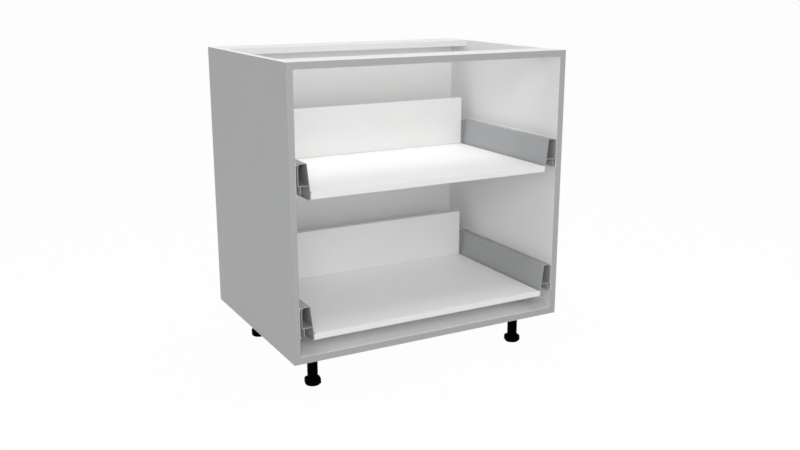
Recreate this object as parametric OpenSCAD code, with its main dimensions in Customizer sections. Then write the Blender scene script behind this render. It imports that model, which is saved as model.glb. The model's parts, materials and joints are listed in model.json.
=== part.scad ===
// Kitchen base cabinet for two drawers, shown without its drawer fronts.
// Millimetres, +Z up, the open front faces -Y. The origin lies on the floor under the middle.
// Inside the modules x counts from the middle, y back from the front plane and z up from the
// underside of the carcass, and in_carcass() puts the result in its place.

/* [Carcass] */
// Width over both side panels
cab_w = 800; // [600:10:1200]
// Depth from the front plane to the rear edges
cab_d = 570; // [530:5:650]
// Height of the carcass without its legs
cab_h = 740; // [680:5:900]
// Thickness of the faced boards
board_t = 17; // [16:0.5:19]
// Thickness of the band on the front edges
band_t = 1; // [0.5:0.1:2]
// Depth of the front top rail
front_rail_d = 94; // [80:1:120]
// Depth of the rear top rail
rear_rail_d = 105; // [90:1:130]
// Thickness of the back panel
back_t = 8; // [5:0.5:10]
// Distance from the back panel to the rear edges
back_inset = 12; // [8:1:20]
// Depth of the grooves that hold the back panel
groove_deep = 8; // [5:0.5:9]

/* [Carcass fittings] */
// Diameter of the wooden dowels
dowel_d = 8; // [6:1:10]
// Length of the wooden dowels
dowel_len = 30; // [25:1:40]
// Diameter of the cam housings
cam_d = 15; // [13:0.5:16]
// Height of the cam housings
cam_h = 12.5; // [11:0.5:14]
// Distance from a board's end to its cam's middle
cam_reach = 34; // [24:1:40]
// Diameter of the bolts that the cams pull
bolt_d = 6; // [5:0.5:7]
// Length of a bolt that stands in the side panel
bolt_bite = 11; // [8:0.5:13]
// Distance of the bottom's cams from its front and rear edges
bottom_cam_inset = 150; // [130:5:180]
// Distance of the bottom's dowels from its front and rear edges
bottom_dowel_inset = 40; // [30:5:50]
// Distance of a top rail's cam from its front edge
rail_cam_inset = 26; // [20:1:32]
// Distance of a top rail's dowel from its front edge
rail_dowel_inset = 62; // [50:1:66]
// Diameter of the holes for the worktop's screws
worktop_hole_d = 5; // [4:0.5:7]
// Distance between the worktop's screw holes along a rail
worktop_hole_span = 560; // [300:10:560]

/* [Legs] */
// Height of the carcass above the floor
leg_h = 99; // [92:1:150]
// Distance of the legs from the outside of the side panels
leg_inset_x = 84; // [60:1:120]
// Distance of the legs from the front plane and the rear edges
leg_inset_y = 87; // [60:1:110]
// Diameter of a leg's shaft
shaft_d = 25; // [20:0.5:30]
// Wall of the shaft's upper part
shaft_wall = 2.6; // [2:0.1:3.5]
// Height of the socket that holds a leg
socket_h = 26; // [20:1:34]
// Wall of the socket's collar
socket_wall = 4; // [3:0.5:6]
// Width of the socket's square plate
socket_plate = 64; // [62:1:80]
// Thickness of the socket's plate
socket_plate_t = 4; // [3:0.5:6]
// Height of the foot's lobed knob and its disc
knob_h = 18.5; // [16:0.5:26]
// Width of the knob over its lobes
knob_d = 43; // [38:1:50]
// Number of lobes on the knob
knob_lobes = 6; // [5:1:8]
// Diameter of the disc that stands on the floor
pad_d = 31; // [26:1:36]
// Height of that disc
pad_h = 3; // [2:0.5:6]
// Diameter of the foot's screw
stud_d = 10; // [8:0.5:12]
// Height of the top of the foot's screw above the floor
stud_len = 62; // [52:1:68]

/* [Drawers] */
// Height of the lower drawer's floor above the underside of the carcass
lower_floor_z = 74.5; // [60:0.5:110]
// Height of the upper drawer's floor above the underside of the carcass
upper_floor_z = 431; // [300:1:480]
// Thickness of the drawers' boards
drawer_board_t = 16; // [15:0.5:18]
// Depth of a drawer's floor
drawer_len = 434; // [420:1:460]
// What a drawer's floor is narrower than the inside of the carcass
floor_allow = 75; // [75:0.5:77]
// What a drawer's back is narrower than the inside of the carcass
back_allow = 87; // [86:0.5:92]
// Height of a drawer's back
drawer_back_h = 140; // [90:1:160]

/* [Drawer sides] */
// Height of a metal side above the drawer's floor
side_h = 72.5; // [66:0.5:90]
// Distance from the carcass to the foot of the side's inner face
side_foot = 36.8; // [36.5:0.1:37.2]
// Distance from the carcass to the top of the side's inner face
side_top = 28.5; // [26:0.5:33]
// Gap between a side and the carcass
side_gap = 5; // [4.8:0.1:6]
// Thickness of the sheet steel
sheet_t = 1.2; // [1:0.1:1.5]
// Radius of the side's outer top edge
side_r = 8; // [4:0.5:10]
// Radius of the side's inner top edge
side_inner_r = 2.2; // [2:0.1:3]
// Height of the web that closes the hollow, above the drawer's floor
web_z = 17; // [17:0.5:20]
// Distance from the carcass to the skirt under the web
skirt_gap = 10.4; // [10:0.1:11.2]
// How far the skirt hangs below the top of the drawer's floor
skirt_drop = 3; // [2:0.1:3.2]
// Width of the flange under the drawer's floor
flange_w = 15; // [12:1:20]
// Width of the lip at the foot of the side's outer face
lip_w = 5; // [3:0.5:6]
// Distance from the front end to the catch for the drawer front
catch_y = 64; // [60:1:80]
// Length of that catch
catch_len = 34; // [28:1:40]
// Thickness of the rear bracket's plate
bracket_t = 1.5; // [1:0.1:2]

/* [Runners] */
// Travel of a drawer
travel = 410; // [360:5:415]
// Distance from the front plane to the track
track_y = 60; // [50:1:66]
// How far the track runs back past the drawer
track_past = 26; // [16:1:34]
// Distance from the carcass to the middle of the track
track_mid = 22; // [21.6:0.1:22.4]
// Width of the middle rail
middle_w = 12; // [10:0.5:12.4]
// Diameter of the rollers
roller_d = 4; // [3:0.1:4.4]
// Length of the rollers
roller_len = 8.4; // [7:0.1:8.6]
// Distance between the rollers in a cage
roller_pitch = 30; // [20:1:40]
// Height of the wall plate above the drawer's floor
plate_up = 71; // [62:0.5:71]
// Height of the wall plate's foot below the drawer's floor
plate_down = 6; // [5.4:0.1:7]
// Depth of the wall plate's flanges
plate_flange = 4.5; // [3:0.1:4.6]

/* [Hidden] */
$fn = 48;
half_w = cab_w / 2;
half_in = half_w - board_t;
// Gap that two flat pieces keep where they slide in each other
slide_gap = 0.3;
// Gap around what is pressed or pushed into a hole
fit_gap = 0.05;
// How far a cutting body stands past the face that it cuts
cut = 1;
// Radius of the bends in the runners and brackets, in the middle of the sheet, and their steps
bend_r = 1.4;
bend_steps = 5;
back_y = cab_d - back_inset - back_t;
back_gap = 0.2;
rail_z = cab_h - board_t;
rear_rail_y = cab_d - rear_rail_d;
leg_x = half_w - leg_inset_x;
leg_y_front = leg_inset_y;
leg_y_rear = cab_d - leg_inset_y;

// Each row holds the place of a cam joint at a board's end: y and the board's underside
cam_places = [
    [bottom_cam_inset, 0],
    [cab_d - bottom_cam_inset, 0],
    [rail_cam_inset, rail_z],
    [rear_rail_y + rail_cam_inset, rail_z]
];
dowel_places = [
    [bottom_dowel_inset, 0],
    [cab_d - bottom_dowel_inset, 0],
    [rail_dowel_inset, rail_z],
    [rear_rail_y + rail_dowel_inset, rail_z]
];
// Length of a dowel that stands in the side panel
dowel_bite = 12;
worktop_hole_y_front = front_rail_d / 2;
worktop_hole_y_rear = cab_d - front_rail_d / 2;

// Leg socket
socket_corner_r = 8;
socket_bore_gap = 0.05;
// Distance of the socket's screws from the edges of its plate, and between the screws
socket_screw_inset = 8;
socket_screw_span = socket_plate - 2 * socket_screw_inset;
rib_t = 2;
// The ribs end this far inside the plate's edge and this far short of the collar's end
rib_inset = 2;
rib_short = 4;
screw_d = 4;
screw_len = 12;
screw_head_d = 7.6;
screw_head_h = 2;
// The foot stays this far from the shaft when it is screwed home
foot_gap = 0.3;
thread_gap = 0.05;
// The shaft's wide hollow begins this far above the foot's screw
hollow_above_stud = 6;
shaft_solid_z = stud_len + hollow_above_stud;
knob_lobe_r = 4;
knob_round = 6;
// How far the lobes stand out, and the turn of the first one
knob_lobe_out = 1.7;
knob_turn = 18;

// Metal side, in its own section: u out from the middle of the cabinet, v up from the floor
foot_u = half_in - side_foot;
top_u = half_in - side_top;
out_u = half_in - side_gap;
slant = atan((top_u - foot_u) / side_h);
wall_u = sheet_t / cos(slant);
corner_v = side_h - side_inner_r;
corner_u = wall_line(corner_v) + side_inner_r / cos(slant);
function wall_line(v) = foot_u + v * tan(slant);
floor_half = half_in - floor_allow / 2;
back_half = half_in - back_allow / 2;
side_len = drawer_len - drawer_board_t;
skirt_u = half_in - skirt_gap;
flange_screw_u = foot_u - flange_w / 2;
// The outer flange screws stay this far inside the ends of the metal side
flange_screw_inset = 50;
flange_screw_ys = [flange_screw_inset, side_len / 2, side_len - flange_screw_inset];
// Length of the screws that run up through a drawer's floor into its back
back_screw_len = 30;
bracket_gap = 0.2;
bracket_notch_gap = 3;
bracket_flange_w = 26;
// The bracket's screws stay this far inside its lower and upper end
bracket_screw_inset = 16;
bracket_screw_zs = [bracket_screw_inset, side_h - bracket_screw_inset];
bracket_tongue = 40;
bracket_tongue_z = 6;
catch_socket_w = 8;
catch_socket_deep = 22;
catch_wall = 5;
catch_gap = 0.1;
catch_pin_d = 5;
catch_pin_root = 1.5;
// How far a catch's pins stand behind its socket, above the web and below the side's round edge
catch_pin_back = 6;
catch_pin_up = 12;
catch_pin_down = 10;
// Each row holds the place of a catch's pin: y and the height above the drawer's floor
catch_pin_places = [
    for (v = [web_z + catch_pin_up, side_h - side_r - catch_pin_down])
        [catch_y + catch_socket_deep + catch_pin_back, v]
];

// Runner section
track_u = half_in - track_mid;
roll_gap = 0.15;
inner_half = middle_w / 2 + slide_gap;
outer_half = inner_half + sheet_t;
track_top = -plate_down + sheet_t;
middle_low = track_top + roller_d + 2 * roll_gap;
ceiling_v = web_z - sheet_t;
middle_high = ceiling_v - roller_d - 2 * roll_gap;
middle_mid = (middle_low + middle_high) / 2;
lip_space = 0.8;
track_end = drawer_len + track_past;
rail_start = track_y + 2;
drawer_rail_end = side_len;
middle_end = track_end - slide_gap;
stop_h = 14;
cage_t = 1.6;
cage_margin = 3;
cage_side_gap = 0.6;
pocket_gap = 0.2;
// The fixed cage rolls a quarter of the travel and the moving one three quarters
fixed_cage_y0 = track_y + travel / 4 + cage_margin;
fixed_cage_y1 = middle_end - travel / 4 - cage_margin;
moving_cage_y0 = rail_start + travel / 4 + cage_margin;
moving_cage_y1 = drawer_rail_end - travel / 4 - cage_margin;
plate_y = 2;
plate_screw_first = 37;
// The last fixing screw stays this far inside the rear end of the plate
plate_screw_inset = 39;
plate_screw_last = track_end - plate_screw_inset;
plate_screw_pitch = (plate_screw_last - plate_screw_first) / 2;
plate_screw_v = 32;
plate_screw_d = 6.3;
plate_screw_len = 11;
plate_head_d = 9.6;
plate_head_h = 1.8;

// Helpers

// Puts what is drawn from the front plane and the underside of the carcass in its place
module in_carcass() {
    translate([0, -cab_d / 2, leg_h]) children();
}

// Extrudes a section, drawn as x and z, from y0 back to y1
module along_y(y0, y1) {
    translate([0, y1, 0]) rotate([90, 0, 0]) linear_extrude(height = y1 - y0) children();
}

// Draws on the right, or mirrors to the left
module on_side(left) {
    if (left) mirror([1, 0, 0]) children();
    else children();
}

module on_both_sides() {
    for (left = [false, true]) on_side(left) children();
}

function unit(v) = v / norm(v);
function to_left(v) = [-v[1], v[0]];
function turned(v, angle) = [
    v[0] * cos(angle) - v[1] * sin(angle),
    v[0] * sin(angle) + v[1] * cos(angle)
];
function backwards(list) = [for (i = [len(list) - 1 : -1 : 0]) list[i]];

// Points round a bend at b on the way from a to c, at a distance to the left of the way
function bend(a, b, c, r, shift) =
    let (
        way_in = unit(b - a),
        way_out = unit(c - b),
        turn = atan2(cross(way_in, way_out), way_in * way_out),
        side = sign(turn),
        hub = b - way_in * r * tan(abs(turn) / 2) + to_left(way_in) * side * r
    )
    [for (i = [0 : bend_steps])
        hub - (side * r - shift) * turned(to_left(way_in), turn * i / bend_steps)];

// One edge of a bent sheet
function sheet_edge(path, shift) =
    let (last = len(path) - 1)
    concat(
        [path[0] + to_left(unit(path[1] - path[0])) * shift],
        [for (i = [1 : last - 1]) each bend(path[i - 1], path[i], path[i + 1], bend_r, shift)],
        [path[last] + to_left(unit(path[last] - path[last - 1])) * shift]
    );

// Outline of a sheet of thickness t that is bent along a path through its middle
function sheet_outline(path, t) =
    concat(sheet_edge(path, t / 2), backwards(sheet_edge(path, -t / 2)));

// Outline of a rectangle with round corners, from its low corner to its high one
function round_outline(low, high, r) =
    let (corners = [low, [high[0], low[1]], high, [low[0], high[1]]])
    [for (i = [0 : 3]) each bend(corners[(i + 3) % 4], corners[i], corners[(i + 1) % 4], r, 0)];

// A rod that runs out along +X from the given place
module rod_x(place, d, len) {
    translate(place) rotate([0, 90, 0]) cylinder(d = d, h = len);
}

// A screw that points up, with its head's underside at z = 0
module screw_up(d, len, head_d, head_h) {
    recess_d = 0.4 * head_d;
    tip_d = 0.2 * d;
    head_bevel = 0.3 * head_h;
    difference() {
        rotate_extrude() polygon([
            [0, -head_h],
            [head_d / 2 - head_bevel, -head_h],
            [head_d / 2, -head_h + head_bevel],
            [head_d / 2, 0],
            [d / 2, 0],
            [d / 2, len - d],
            [tip_d / 2, len],
            [0, len]
        ]);
        translate([0, 0, -head_h - cut]) cylinder(d = recess_d, h = head_h / 2 + cut, $fn = 6);
    }
}

// Carcass

module cam_bolt_bores(into_side) {
    for (p = cam_places) {
        translate([0, p[0], p[1] + board_t / 2]) {
            if (into_side) rod_x([half_in - cut, 0, 0], bolt_d + 2 * fit_gap, bolt_bite + cut + fit_gap);
            else rod_x([half_in - cam_reach, 0, 0], bolt_d + 2 * fit_gap, cam_reach + cut);
        }
    }
}

module dowel_bores() {
    for (p = dowel_places) {
        rod_x([half_in + dowel_bite - dowel_len - slide_gap, p[0], p[1] + board_t / 2],
            dowel_d + 2 * fit_gap, dowel_len + 2 * slide_gap);
    }
}

module cam_pockets() {
    for (p = cam_places) {
        translate([half_in - cam_reach, p[0], p[1] - cut]) {
            cylinder(d = cam_d + 2 * fit_gap, h = cam_h + cut + fit_gap);
        }
    }
}

// The space that the back panel's groove takes, on every board that it runs through
module back_groove() {
    reach = half_in + groove_deep;
    translate([-reach, back_y - back_gap / 2, board_t - groove_deep]) {
        cube([2 * reach, back_t + back_gap, rail_z - board_t + 2 * groove_deep]);
    }
}

module side_panel(left) {
    color("gainsboro") in_carcass() on_side(left) difference() {
        translate([half_in, band_t, 0]) cube([board_t, cab_d - band_t, cab_h]);
        back_groove();
        cam_bolt_bores(true);
        dowel_bores();
        for (p = plate_screw_places()) plate_screw_bore(p);
    }
}

module bottom_panel() {
    color("whitesmoke") in_carcass() difference() {
        translate([-half_in, band_t, 0]) cube([2 * half_in, cab_d - band_t, board_t]);
        back_groove();
        on_both_sides() {
            cam_pockets();
            cam_bolt_bores(false);
            dowel_bores();
        }
        for_legs() socket_screw_places() translate([0, 0, -cut]) {
            cylinder(d = screw_d + 2 * fit_gap, h = screw_len - socket_plate_t + 2 * cut);
        }
    }
}

module top_rail(y0, depth, hole_y) {
    color("whitesmoke") in_carcass() difference() {
        translate([-half_in, y0, rail_z]) cube([2 * half_in, depth, board_t]);
        back_groove();
        on_both_sides() {
            cam_pockets();
            cam_bolt_bores(false);
            dowel_bores();
            translate([worktop_hole_span / 2, hole_y, rail_z - cut]) {
                cylinder(d = worktop_hole_d, h = board_t + 2 * cut);
            }
        }
    }
}

module back_panel() {
    reach = half_in + groove_deep - back_gap;
    color("whitesmoke") in_carcass() {
        translate([-reach, back_y, board_t - groove_deep]) {
            cube([2 * reach, back_t, rail_z - board_t + 2 * groove_deep - back_gap]);
        }
    }
}

module upright_band(left) {
    color("darkgray") in_carcass() on_side(left) {
        translate([half_in, 0, 0]) cube([board_t, band_t, cab_h]);
    }
}

module cross_band(z) {
    color("darkgray") in_carcass() {
        translate([-half_in, 0, z]) cube([2 * half_in, band_t, board_t]);
    }
}

// A dowel along +X with bevelled ends
module dowel() {
    bevel = 1;
    rotate([0, 90, 0]) rotate_extrude() polygon([
        [0, 0],
        [dowel_d / 2 - bevel, 0],
        [dowel_d / 2, bevel],
        [dowel_d / 2, dowel_len - bevel],
        [dowel_d / 2 - bevel, dowel_len],
        [0, dowel_len]
    ]);
}

module wood_dowels() {
    color("burlywood") in_carcass() on_both_sides() {
        for (p = dowel_places) {
            translate([half_in + dowel_bite - dowel_len, p[0], p[1] + board_t / 2]) dowel();
        }
    }
}

// A bolt along +X, from its head in the cam to its end in the side panel
module cam_bolt() {
    len = cam_reach - slide_gap + bolt_bite;
    head_len = 2.6;
    neck_end = 7.4;
    neck_d = 0.6 * bolt_d;
    rotate([0, 90, 0]) rotate_extrude() polygon([
        [0, 0],
        [neck_d / 2, 0],
        [bolt_d / 2, head_len / 2],
        [bolt_d / 2, head_len],
        [neck_d / 2, head_len],
        [neck_d / 2, neck_end],
        [bolt_d / 2, neck_end + 1],
        [bolt_d / 2, len],
        [0, len]
    ]);
}

module cam_bolts() {
    color("silver") in_carcass() on_both_sides() {
        for (p = cam_places) {
            translate([half_in - cam_reach + slide_gap, p[0], p[1] + board_t / 2]) cam_bolt();
        }
    }
}

module cam_housings() {
    slot_w = 2;
    slot_deep = 2.5;
    pocket_d = bolt_d + 2 * slide_gap;
    color("silver") in_carcass() on_both_sides() {
        for (p = cam_places) translate([half_in - cam_reach, p[0], p[1]]) difference() {
            cylinder(d = cam_d, h = cam_h);
            rod_x([0, 0, board_t / 2], pocket_d, cam_d);
            translate([0, 0, board_t / 2]) sphere(d = pocket_d);
            for (turn = [0, 90]) rotate([0, 0, turn]) {
                translate([-cam_d / 3, -slot_w / 2, -cut]) cube([cam_d / 1.5, slot_w, slot_deep + cut]);
            }
        }
    }
}

// Legs

module for_legs() {
    for (y = [leg_y_front, leg_y_rear]) {
        on_both_sides() translate([leg_x, y, 0]) children();
    }
}

module at_leg(left, y) {
    in_carcass() translate([left ? -leg_x : leg_x, y, 0]) children();
}

module socket_screw_places() {
    for (sx = [-1, 1], sy = [-1, 1]) {
        translate([sx * socket_screw_span / 2, sy * socket_screw_span / 2, 0]) children();
    }
}

module leg_socket(left, y) {
    corner = socket_plate / 2 - socket_corner_r;
    color("dimgray") at_leg(left, y) difference() {
        union() {
            translate([0, 0, -socket_plate_t]) linear_extrude(height = socket_plate_t) union() {
                square([socket_plate, 2 * corner], center = true);
                square([2 * corner, socket_plate], center = true);
                for (sx = [-1, 1], sy = [-1, 1]) {
                    translate([sx * corner, sy * corner]) circle(r = socket_corner_r);
                }
            }
            translate([0, 0, -socket_h]) cylinder(d = shaft_d + 2 * socket_wall, h = socket_h);
            // Ribs between the collar and the plate's edges
            for (turn = [0, 90]) rotate([0, 0, turn]) rotate([90, 0, 0]) {
                translate([0, 0, -rib_t / 2]) linear_extrude(height = rib_t) polygon([
                    [-socket_plate / 2 + rib_inset, -socket_plate_t],
                    [-shaft_d / 2 - socket_wall, -socket_h + rib_short],
                    [shaft_d / 2 + socket_wall, -socket_h + rib_short],
                    [socket_plate / 2 - rib_inset, -socket_plate_t]
                ]);
            }
        }
        translate([0, 0, -socket_h - cut]) {
            cylinder(d = shaft_d + 2 * socket_bore_gap, h = socket_h - socket_plate_t / 2 + cut);
        }
        socket_screw_places() translate([0, 0, -socket_plate_t - cut]) {
            cylinder(d = screw_d + 2 * fit_gap, h = socket_plate_t + 2 * cut);
        }
    }
}

module leg_socket_screws() {
    color("silver") in_carcass() for_legs() socket_screw_places() {
        translate([0, 0, -socket_plate_t]) screw_up(screw_d, screw_len, screw_head_d, screw_head_h);
    }
}

module leg_shaft(left, y) {
    top_z = -socket_plate_t / 2;
    low_z = -leg_h + knob_h + foot_gap;
    color("black") at_leg(left, y) difference() {
        translate([0, 0, low_z]) cylinder(d = shaft_d, h = top_z - low_z);
        translate([0, 0, low_z - cut]) {
            cylinder(d = stud_d + 2 * thread_gap, h = shaft_solid_z - knob_h + cut);
        }
        translate([0, 0, low_z + shaft_solid_z - knob_h - cut]) {
            cylinder(d = shaft_d - 2 * shaft_wall, h = leg_h);
        }
    }
}

module foot(left, y) {
    lobe_at = knob_d / 2 - knob_lobe_r;
    color("black") at_leg(left, y) translate([0, 0, -leg_h]) {
        cylinder(d = pad_d, h = pad_h);
        intersection() {
            translate([0, 0, pad_h]) linear_extrude(height = knob_h - pad_h) union() {
                circle(r = knob_d / 2 - knob_lobe_out);
                for (i = [0 : knob_lobes - 1]) {
                    rotate(knob_turn + i * 360 / knob_lobes) translate([lobe_at, 0]) circle(r = knob_lobe_r);
                }
            }
            // Rounds the knob's top edge
            rotate_extrude() union() {
                square([knob_d / 2 - knob_round, knob_h]);
                square([knob_d / 2, knob_h - knob_round]);
                translate([knob_d / 2 - knob_round, knob_h - knob_round]) circle(r = knob_round);
            }
        }
        translate([0, 0, knob_h - cut]) cylinder(d = stud_d, h = stud_len - knob_h + cut);
    }
}

// Drawers

module drawer_floor(z) {
    color("white") in_carcass() translate([0, 0, z]) difference() {
        translate([-floor_half, 0, -drawer_board_t]) cube([2 * floor_half, drawer_len, drawer_board_t]);
        on_both_sides() flange_screw_places() screw_bore();
        back_screw_places() sunk_screw_bore();
    }
}

module drawer_back(z) {
    color("white") in_carcass() translate([0, 0, z]) difference() {
        translate([-back_half, side_len, 0]) cube([2 * back_half, drawer_board_t, drawer_back_h]);
        on_both_sides() bracket_screw_places() screw_bore();
        back_screw_places() sunk_screw_bore();
    }
}

module screw_bore() {
    translate([0, 0, -cut]) cylinder(d = screw_d + 2 * fit_gap, h = screw_len + cut + slide_gap);
}

// Bore for a long screw, with room below it for the screw's head
module sunk_screw_bore() {
    cylinder(d = screw_d + 2 * fit_gap, h = back_screw_len + slide_gap);
    translate([0, 0, -screw_head_h - cut]) {
        cylinder(d = screw_head_d + 2 * fit_gap, h = screw_head_h + cut);
    }
}

// Screws from below through the flanges, with their heads' undersides on the flange
module flange_screw_places() {
    for (y = flange_screw_ys) {
        translate([flange_screw_u, y, -drawer_board_t - sheet_t]) children();
    }
}

// Screws from below through the floor into the back, with their heads let into the floor
module back_screw_places() {
    for (x = [-back_half / 2, 0, back_half / 2]) {
        translate([x, side_len + drawer_board_t / 2, -drawer_board_t + screw_head_h]) children();
    }
}

// Screws from behind through the rear bracket's flange
module bracket_screw_places() {
    for (z = bracket_screw_zs) {
        translate([back_half - bracket_flange_w / 2, drawer_len + bracket_t, z]) {
            rotate([90, 0, 0]) children();
        }
    }
}

// What comes off the outer top corner of the side's section, to round it
module outer_corner_waste(inset) {
    translate([out_u - side_r, side_h - side_r]) difference() {
        square(side_r + cut);
        circle(r = side_r - inset);
    }
}

// What comes off the inner top corner, between the slanted wall and the top
module inner_corner_waste(inset) {
    r = side_inner_r - inset;
    reach = r + cut;
    translate([corner_u, corner_v]) difference() {
        polygon([
            [0, 0],
            [-reach * cos(slant), reach * sin(slant)],
            [-reach * cos(slant), reach],
            [0, reach]
        ]);
        circle(r = r);
    }
}

// Section of the side's hollow part, drawn in by the given amount
module hollow_section(inset) {
    low_v = web_z + inset;
    high_v = side_h - inset;
    difference() {
        polygon([
            [wall_line(low_v) + inset / cos(slant), low_v],
            [wall_line(high_v) + inset / cos(slant), high_v],
            [out_u - inset, high_v],
            [out_u - inset, low_v]
        ]);
        outer_corner_waste(inset);
        inner_corner_waste(inset);
    }
}

// Section of the whole metal side: the hollow, its skirt, and the wall and flange by the floor
module side_section() {
    flange_v = -drawer_board_t;
    difference() {
        polygon([
            [foot_u - flange_w, flange_v - sheet_t],
            [foot_u - flange_w, flange_v],
            [foot_u, flange_v],
            [foot_u, 0],
            [top_u, side_h],
            [out_u, side_h],
            [out_u, web_z],
            [skirt_u, web_z],
            [skirt_u, -skirt_drop],
            [skirt_u - sheet_t, -skirt_drop],
            [skirt_u - sheet_t, web_z],
            [wall_line(web_z) + wall_u, web_z],
            [foot_u + wall_u, 0],
            [foot_u + wall_u, flange_v],
            [foot_u + wall_u + lip_w, flange_v],
            [foot_u + wall_u + lip_w, flange_v - sheet_t]
        ]);
        outer_corner_waste(0);
        inner_corner_waste(0);
        hollow_section(sheet_t);
    }
}

module metal_side(z, left) {
    color("silver") in_carcass() on_side(left) translate([0, 0, z]) difference() {
        along_y(0, side_len) side_section();
        for (p = catch_pin_places) {
            rod_x([out_u - sheet_t - catch_wall / 2, p[0], p[1]], catch_pin_d + 2 * catch_gap, catch_wall);
        }
        flange_screw_places() {
            translate([0, 0, -cut]) cylinder(d = screw_d + 2 * fit_gap, h = sheet_t + 2 * cut);
        }
    }
}

// Path through the middle of the rear bracket's sheet, from above: behind the drawer's back,
// forward past its end, out behind the metal side and forward again into the hollow
bracket_path = [
    [back_half - bracket_flange_w, drawer_len + bracket_t / 2],
    [back_half + bracket_gap + bracket_t / 2, drawer_len + bracket_t / 2],
    [back_half + bracket_gap + bracket_t / 2, side_len + bracket_t / 2],
    [out_u - sheet_t - bracket_t / 2, side_len + bracket_t / 2],
    [out_u - sheet_t - bracket_t / 2, side_len - bracket_tongue]
];

module rear_bracket(z, left) {
    notch_u = track_u - outer_half - bracket_notch_gap;
    tongue_low = web_z + bracket_tongue_z;
    tongue_high = side_h - side_r - bracket_tongue_z;
    color("gray") in_carcass() on_side(left) translate([0, 0, z]) difference() {
        linear_extrude(height = side_h) polygon(sheet_outline(bracket_path, bracket_t));
        // Room over the runner
        translate([notch_u, side_len - bracket_tongue - cut, -cut]) {
            cube([side_foot, bracket_tongue + drawer_board_t + 2 * cut, web_z + cut]);
        }
        // The outer corner, rounded as the side is
        along_y(side_len - bracket_tongue - cut, drawer_len) outer_corner_waste(0);
        // The tongue is lower than the plate
        for (range = [[0, tongue_low], [tongue_high, side_h + cut]]) {
            translate([notch_u + bracket_notch_gap, side_len - bracket_tongue - cut, range[0]]) {
                cube([side_foot, bracket_tongue + cut, range[1] - range[0]]);
            }
        }
        bracket_screw_places() {
            translate([0, 0, -cut]) cylinder(d = screw_d + 2 * fit_gap, h = bracket_t + 2 * cut);
        }
    }
}

// A moulded block in each hollow side, with a socket in front, a hollow behind and two pins
module front_catches(z) {
    socket_u = (foot_u + out_u) / 2 + catch_wall / 2;
    socket_z = web_z + sheet_t + catch_wall;
    socket_tall = side_h - web_z - side_r - 2 * catch_wall;
    hollow_y = catch_y + catch_socket_deep + catch_wall;
    color("dimgray") in_carcass() on_both_sides() translate([0, 0, z]) {
        difference() {
            along_y(catch_y, catch_y + catch_len) hollow_section(sheet_t + catch_gap);
            translate([socket_u, catch_y - cut, socket_z]) {
                cube([catch_socket_w, catch_socket_deep + cut, socket_tall]);
            }
            translate([socket_u, hollow_y, socket_z]) cube([catch_socket_w, catch_len, socket_tall]);
        }
        for (p = catch_pin_places) {
            rod_x([out_u - sheet_t - 2 * catch_gap - catch_pin_root, p[0], p[1]],
                catch_pin_d, sheet_t + 2 * catch_gap + catch_pin_root);
        }
    }
}

module drawer_screws(z) {
    color("silver") in_carcass() translate([0, 0, z]) {
        on_both_sides() {
            flange_screw_places() screw_up(screw_d, screw_len, screw_head_d, screw_head_h);
            bracket_screw_places() screw_up(screw_d, screw_len, screw_head_d, screw_head_h);
        }
        back_screw_places() screw_up(screw_d, back_screw_len, screw_head_d, screw_head_h);
    }
}

// Runners

function plate_screw_places() = [
    for (z = [lower_floor_z, upper_floor_z], i = [0 : 2])
        [plate_screw_first + i * plate_screw_pitch, z + plate_screw_v]
];

module plate_screw_bore(p) {
    rod_x([half_in - sheet_t - cut, p[0], p[1]],
        plate_screw_d + 2 * fit_gap, sheet_t + cut + plate_screw_len + slide_gap);
}

// Section of a cabinet rail: a flange, the plate on the carcass wall, and the arm with the open track
module cabinet_rail_section() {
    lip_top = middle_mid - lip_space;
    plate_u = half_in - sheet_t / 2;
    arm_v = -plate_down + sheet_t / 2;
    lip_u = inner_half + sheet_t / 2;
    polygon(sheet_outline([
        [half_in - plate_flange, plate_up - sheet_t / 2],
        [plate_u, plate_up - sheet_t / 2],
        [plate_u, arm_v],
        [track_u - lip_u, arm_v],
        [track_u - lip_u, lip_top]
    ], sheet_t));
    translate([track_u + inner_half, arm_v]) square([sheet_t, lip_top - arm_v]);
}

// Windows in the wall plate between its screws, and a slot under each screw
module plate_cut_outs() {
    window_inset = 34;
    window_low = 16;
    window_high = 46;
    window_r = 6;
    slot_half_len = 7;
    slot_w = 5;
    slot_v = 16;
    translate([half_in + cut, 0, 0]) rotate([0, -90, 0]) linear_extrude(height = plate_flange) {
        for (i = [0, 1]) {
            y = plate_screw_first + i * plate_screw_pitch;
            polygon(round_outline([window_low, y + window_inset],
                [window_high, y + plate_screw_pitch - window_inset], window_r));
        }
        for (i = [0 : 2]) {
            y = plate_screw_first + i * plate_screw_pitch;
            polygon(round_outline([slot_v - slot_w / 2, y - slot_half_len],
                [slot_v + slot_w / 2, y + slot_half_len], slot_w / 2));
        }
    }
}

module cabinet_rail(z, left) {
    color("lightsteelblue") in_carcass() on_side(left) difference() {
        translate([0, 0, z]) difference() {
            union() {
                along_y(plate_y, track_end + sheet_t) cabinet_rail_section();
                // Stop at the rear end of the track
                translate([track_u - outer_half, track_end, -plate_down]) {
                    cube([2 * outer_half, sheet_t, stop_h]);
                }
            }
            // The arm and the track begin further back than the plate
            translate([0, plate_y - cut, -plate_down - cut]) {
                cube([half_in - plate_flange, track_y - plate_y + cut, plate_up]);
            }
            plate_cut_outs();
        }
        for (p = plate_screw_places()) plate_screw_bore(p);
    }
}

module cabinet_rail_screws() {
    color("silver") in_carcass() on_both_sides() {
        for (p = plate_screw_places()) {
            translate([half_in - sheet_t, p[0], p[1]]) rotate([0, 90, 0]) {
                screw_up(plate_screw_d, plate_screw_len, plate_head_d, plate_head_h);
            }
        }
    }
}

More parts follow.
